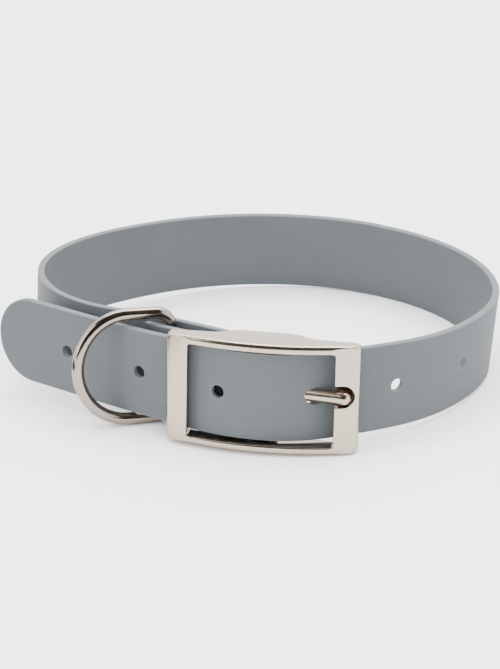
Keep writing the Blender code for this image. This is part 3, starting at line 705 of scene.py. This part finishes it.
def make_prong(material):
    """A round tongue with a domed tip, joined to an eye that wraps the centre bar.

    The tongue is a circle of changing radius along a line; the eye is a flattened torus.
    """
    buckle = settings("collar_buckle")
    bar = np.array((0, buckle.bar_setback, -TONGUE_ROOT_DROP))
    tip = np.array((buckle.half_length - buckle.prong_inset, buckle.prong_tip,
                    buckle.notch_rise - TONGUE_TIP_DROP))
    along = (tip - bar) / np.linalg.norm(tip - bar)
    reach = np.linalg.norm(tip - bar)
    radius = buckle.prong_radius
    dome = np.linspace(0, math.pi / 2, 20)
    run = np.linspace(TONGUE_START, reach - radius, 30, endpoint=False)
    distance = np.concatenate([run, reach - radius + radius * np.sin(dome)])
    wide = np.concatenate([np.full_like(run, radius), radius * np.cos(dome) ** 0.9])
    wide[:6] = np.linspace(radius * 0.94, radius, 6)
    turn = np.linspace(0, 2 * math.pi, 48, endpoint=False)
    across = unit(np.array((along[1], -along[0], 0)))
    up = np.cross(across, along)
    ring = np.cos(turn)[:, None] * across * 0.96 + np.sin(turn)[:, None] * up
    points = bar + along * distance[:, None, None] + ring * wide[:, None, None]
    world = stand(lean_buckle(points))
    caps = [tuple(range(48))]
    made = add_piece("prong_tongue", world, grid_quads(*points.shape[:2], True), material, caps)

    bore = buckle.bar_radius + EYE_GAP
    thick = EYE_THICK
    middle = bore + thick
    p = np.linspace(0, 2 * math.pi, 72, endpoint=False)[:, None]
    q = np.linspace(0, 2 * math.pi, 32, endpoint=False)[None, :]
    squared = np.sign(np.cos(q)) * np.abs(np.cos(q)) ** 0.7
    off = middle + thick * squared
    rise = EYE_HALF_HEIGHT * np.sign(np.sin(q)) * np.abs(np.sin(q)) ** 0.7
    eye = np.stack([off * np.cos(p), buckle.bar_setback + off * np.sin(p),
                    rise + 0 * p], -1)
    loop = add_piece("eye", stand(lean_buckle(eye)), grid_quads(72, 32, True, True), material)
    return shape_with(made, loop, "UNION", 50)


def ring_line(ring, count):
    """Even samples of the D: straight bar, round corners, straight shoulders and round nose."""
    straight = ring.half_height - ring.corner
    quarter = np.linspace(0, math.pi / 2, 60)
    corner = np.stack([ring.corner * (1 - np.cos(quarter)), straight + ring.corner * np.sin(quarter)], -1)
    nose = np.stack([ring.shoulder + ring.nose * np.sin(quarter), ring.half_height * np.cos(quarter)], -1)
    upper = np.vstack([[(0, 0)], corner, nose])
    line = np.vstack([upper, (upper * (1, -1))[::-1]])
    steps = np.linalg.norm(np.diff(line, axis=0), axis=1)
    lengths = np.concatenate([[0], np.cumsum(steps)])
    even = np.linspace(0, lengths[-1], count, endpoint=False)
    return np.stack([np.interp(even, lengths, line[:, 0]), np.interp(even, lengths, line[:, 1])], -1)


def make_ring(material):
    """A circle carried round the D's middle line, turned out by its swing about the hinge."""
    ring, buckle = settings("collar_ring"), settings("collar_buckle")
    line = ring_line(ring, 240)
    ahead = unit(np.roll(line, -3, axis=0) - np.roll(line, 3, axis=0))
    side = np.stack([-ahead[:, 1], ahead[:, 0]], -1)
    turn = np.linspace(0, 2 * math.pi, 36, endpoint=False)
    flat = line[:, None, :] + side[:, None, :] * (np.cos(turn) * ring.wire)[None, :, None]
    off = np.broadcast_to(np.sin(turn) * ring.wire, flat.shape[:2])
    local = np.stack([-flat[..., 0], off, flat[..., 1]], -1)
    swing = Matrix.Rotation(-FRONT_LEAN, 3, "X") @ Matrix.Rotation(RING_SWING, 3, "Z")
    bar = np.array((0, buckle.bar_setback)) + ALONG * ring.from_bar
    rise = np.array((0, math.sin(FRONT_LEAN), math.cos(FRONT_LEAN))) * ring.rise
    points = local @ np.array(swing).T + np.array((*bar, 0)) + rise
    return add_piece("wire_ring", stand(points), grid_quads(*off.shape, True, True), material)


def make_post(name, distance_from_bar, head, shank, reach, material):
    """A turned post: a domed head on each side of both layers and a plain shank between them."""
    strap, buckle = settings("collar_strap"), settings("collar_buckle")
    seat = reach + strap.thickness / 2
    dome = np.linspace(0, math.pi / 2, 14)
    rise = POST_RISE
    out = seat + rise * np.sin(dome)
    wide = head * np.cos(dome) ** 0.7
    along = np.concatenate([-out[::-1], [-seat, -seat + 0.0001], [seat - 0.0001, seat], out])
    radius = np.concatenate([wide[::-1], [head, shank], [shank, head], wide])
    turn = np.linspace(0, 2 * math.pi, 40, endpoint=False)
    middle = np.array((0, buckle.bar_setback)) + ALONG * distance_from_bar
    centre = np.array((*middle, 0))
    axis = np.array((*ACROSS, 0))
    sideways = np.array((*ALONG, 0))
    circle = np.cos(turn)[:, None] * sideways + np.sin(turn)[:, None] * np.array((0, 0, 1))
    points = centre + axis * along[:, None, None] + circle * radius[:, None, None]
    return add_piece(name, stand(points), grid_quads(*points.shape[:2], True), material)


def nodes_of(name):
    """A fresh material's nodes, links and shader."""
    made = bpy.data.materials.new(name)
    made.use_nodes = True
    tree = made.node_tree
    return made, tree.nodes, tree.links, tree.nodes["Principled BSDF"]


def coated_webbing():
    """Matte grey coat with a fine grain and a faint mottle; the cut edges are paler."""
    strap = settings("collar_strap")
    made, nodes, links, shader = nodes_of("matte_grey_coat")
    place = nodes.new("ShaderNodeTexCoord")
    mottle = nodes.new("ShaderNodeTexNoise")
    mottle.inputs["Scale"].default_value = 55.0
    mottle.inputs["Detail"].default_value = 4.0
    links.new(place.outputs["Object"], mottle.inputs["Vector"])
    tone = nodes.new("ShaderNodeValToRGB")
    face = np.array(strap.face_colour)
    tone.color_ramp.elements[0].position = 0.3
    tone.color_ramp.elements[0].color = (*(face * 0.965), 1)
    tone.color_ramp.elements[1].position = 0.7
    tone.color_ramp.elements[1].color = (*(face * 1.035), 1)
    links.new(mottle.outputs["Fac"], tone.inputs["Fac"])
    grain = nodes.new("ShaderNodeTexNoise")
    grain.inputs["Scale"].default_value = 2600.0
    grain.inputs["Detail"].default_value = 3.0
    links.new(place.outputs["Object"], grain.inputs["Vector"])
    cut = nodes.new("ShaderNodeAttribute")
    cut.attribute_name = "cut_edge"
    mix = nodes.new("ShaderNodeMix")
    mix.data_type = "RGBA"
    mix.inputs["B"].default_value = (*strap.cut_colour, 1)
    links.new(cut.outputs["Fac"], mix.inputs["Factor"])
    links.new(tone.outputs["Color"], mix.inputs["A"])
    links.new(mix.outputs["Result"], shader.inputs["Base Color"])
    bump = nodes.new("ShaderNodeBump")
    bump.inputs["Strength"].default_value = 0.10
    bump.inputs["Distance"].default_value = 0.00015
    links.new(grain.outputs["Fac"], bump.inputs["Height"])
    links.new(bump.outputs["Normal"], shader.inputs["Normal"])
    shader.inputs["Roughness"].default_value = strap.shine
    shader.inputs["IOR"].default_value = 1.46
    shader.inputs["Specular IOR Level"].default_value = 0.3
    return made


def nickel(name, metal, shine, grain_scale, wear):
    """Nickel plate: an even warm metal whose roughness varies with fine polishing marks."""
    made, nodes, links, shader = nodes_of(name)
    place = nodes.new("ShaderNodeTexCoord")
    stretch = nodes.new("ShaderNodeMapping")
    stretch.inputs["Scale"].default_value = (0.25, 1.0, 1.0)
    links.new(place.outputs["Object"], stretch.inputs["Vector"])
    marks = nodes.new("ShaderNodeTexNoise")
    marks.inputs["Scale"].default_value = grain_scale
    marks.inputs["Detail"].default_value = 5.0
    links.new(stretch.outputs["Vector"], marks.inputs["Vector"])
    spread = nodes.new("ShaderNodeMapRange")
    spread.inputs["To Min"].default_value = max(shine - wear, 0.03)
    spread.inputs["To Max"].default_value = shine + wear
    links.new(marks.outputs["Fac"], spread.inputs["Value"])
    links.new(spread.outputs["Result"], shader.inputs["Roughness"])
    bump = nodes.new("ShaderNodeBump")
    bump.inputs["Strength"].default_value = 0.02
    bump.inputs["Distance"].default_value = 0.0001
    links.new(marks.outputs["Fac"], bump.inputs["Height"])
    links.new(bump.outputs["Normal"], shader.inputs["Normal"])
    shader.inputs["Base Color"].default_value = (*metal, 1)
    shader.inputs["Metallic"].default_value = 1.0
    return made


class COLLAR_OT_strap(bpy.types.Operator):
    """Build the coated strap with its punched holes"""
    bl_idname = "collar.strap"
    bl_label = "Strap"

    def execute(self, context):
        made = make_strap(coated_webbing())
        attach(made, "collar")
        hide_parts("strap")
        return {"FINISHED"}


class COLLAR_OT_buckle(bpy.types.Operator):
    """Build the buckle's frame and its prong"""
    bl_idname = "collar.buckle"
    bl_label = "Buckle"

    def execute(self, context):
        buckle = settings("collar_buckle")
        satin = nickel("satin_nickel_plate", buckle.metal, buckle.shine, 900.0, 0.05)
        for made, node in ((make_frame(satin), "buckle_frame"), (make_prong(satin), "prong")):
            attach(made, "collar")
            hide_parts(node)
        return {"FINISHED"}


class COLLAR_OT_ring(bpy.types.Operator):
    """Build the D-ring and the posts beside it"""
    bl_idname = "collar.ring"
    bl_label = "D-ring and posts"

    def execute(self, context):
        ring, buckle, strap = settings("collar_ring"), settings("collar_buckle"), settings("collar_strap")
        # The ring's nickel takes the darker colour above, painted shade for the dark reflections on its
        # wire
        dark_painted_nickel = nickel("polished_nickel_painted_dark", ring.metal, ring.shine, 1400.0, 0.03)
        satin = nickel("satin_nickel_posts", buckle.metal, buckle.shine, 900.0, 0.05)
        wire = make_ring(dark_painted_nickel)
        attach(wire, "ring")
        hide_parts("d_ring")
        bar_reach = buckle.bar_radius + HINGE_GAP + strap.thickness / 2
        ring_reach = ring.wire + HINGE_GAP + strap.thickness / 2
        posts = (("post_by_buckle", ring.from_bar / 2, ring.post, POST_SHANK,
                  max(bar_reach, ring_reach), "rivet_buckle_side"),
                 ("post_by_end", ring.from_bar + END_POST_PLACE, ring.end_post, END_POST_SHANK,
                  ring_reach, "rivet_end_side"))
        for name, distance, head, shank, reach, node in posts:
            made = make_post(name, distance, head, shank, reach, satin)
            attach(made, "collar")
            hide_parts(node)
        return {"FINISHED"}


def area_light(name, place, aim, size, power):
    data = bpy.data.lights.new(name, "AREA")
    data.shape = "RECTANGLE"
    data.size, data.size_y = size
    data.energy = power
    made = bpy.data.objects.new(name, data)
    bpy.context.scene.collection.objects.link(made)
    made.location = place
    made.rotation_euler = (Vector(aim) - Vector(place)).to_track_quat("-Z", "Y").to_euler()
    return made


def dark_card(name, corners):
    """A black card that only the metal's reflections see."""
    made_mat, _, _, shader = nodes_of("black_card")
    shader.inputs["Base Color"].default_value = (0.012, 0.011, 0.010, 1)
    shader.inputs["Roughness"].default_value = 1.0
    mesh = bpy.data.meshes.new(name)
    mesh.from_pydata(corners, [], [(0, 1, 2, 3)])
    mesh.materials.append(made_mat)
    made = bpy.data.objects.new(name, mesh)
    bpy.context.scene.collection.objects.link(made)
    made.visible_camera = False
    made.visible_diffuse = False
    made.visible_shadow = False
    return made


class COLLAR_OT_stage(bpy.types.Operator):
    """Set the pale floor, the soft light and the camera"""
    bl_idname = "collar.stage"
    bl_label = "Stage"

    def execute(self, context):
        stage = settings("collar_stage")
        scene = context.scene
        floor_mat, _, _, shader = nodes_of("pale_floor")
        shader.inputs["Base Color"].default_value = (*stage.floor, 1)
        shader.inputs["Roughness"].default_value = 0.9
        mesh = bpy.data.meshes.new("floor")
        size = 4.0
        mesh.from_pydata([(-size, -size, 0), (size, -size, 0), (size, size, 0), (-size, size, 0)], [],
                         [(0, 1, 2, 3)])
        mesh.materials.append(floor_mat)
        floor = bpy.data.objects.new("floor", mesh)
        scene.collection.objects.link(floor)
        world = bpy.data.worlds.new("even_light")
        world.use_nodes = True
        back = world.node_tree.nodes["Background"]
        back.inputs["Color"].default_value = (1, 1, 1, 1)
        back.inputs["Strength"].default_value = stage.sky
        scene.world = world
        area_light("overhead", (0.1, 0.15, 1.1), (0, 0, 0), (1.3, 1.0), 26.0 * stage.key)
        area_light("left_front", (-0.75, -0.55, 0.5), (0, 0, 0), (0.3, 0.8), 4.5 * stage.key)
        for name, corners in CARDS:
            dark_card(name, corners)
        camera = bpy.data.cameras.new("camera")
        camera.sensor_width = 36.0
        camera.lens = stage.lens
        camera.clip_start, camera.clip_end = 0.01, 20.0
        made = bpy.data.objects.new("camera", camera)
        scene.collection.objects.link(made)
        made.location = CAMERA_PLACE
        look = (Vector(CAMERA_AIM) - Vector(CAMERA_PLACE)).to_track_quat("-Z", "Y")
        made.rotation_mode = "QUATERNION"
        made.rotation_quaternion = look @ Matrix.Rotation(CAMERA_ROLL, 3, "Z").to_quaternion()
        scene.camera = made
        return {"FINISHED"}


class COLLAR_PT_panel(bpy.types.Panel):
    """Lists the collar's pieces"""
    bl_label = "Dog collar"
    bl_idname = "COLLAR_PT_panel"
    bl_space_type = "VIEW_3D"
    bl_region_type = "UI"
    bl_category = "Collar"

    def draw(self, context):
        column = self.layout.column(align=True)
        for operator in OPERATORS:
            column.operator(operator.bl_idname)


GROUPS = (("collar_strap", CollarStrap), ("collar_buckle", CollarBuckle),
          ("collar_ring", CollarRing), ("collar_stage", CollarStage))
OPERATORS = (COLLAR_OT_strap, COLLAR_OT_buckle, COLLAR_OT_ring, COLLAR_OT_stage)


def register():
    for name, group in GROUPS:
        bpy.utils.register_class(group)
        setattr(bpy.types.Scene, name, bpy.props.PointerProperty(type=group))
    for operator in OPERATORS:
        bpy.utils.register_class(operator)
    bpy.utils.register_class(COLLAR_PT_panel)


def unregister():
    bpy.utils.unregister_class(COLLAR_PT_panel)
    for operator in reversed(OPERATORS):
        bpy.utils.unregister_class(operator)
    for name, group in reversed(GROUPS):
        delattr(bpy.types.Scene, name)
        bpy.utils.unregister_class(group)


def main():
    register()
    bpy.ops.collar.strap()
    bpy.ops.collar.buckle()
    bpy.ops.collar.ring()
    bpy.ops.collar.stage()


if __name__ == "__main__":
    main()
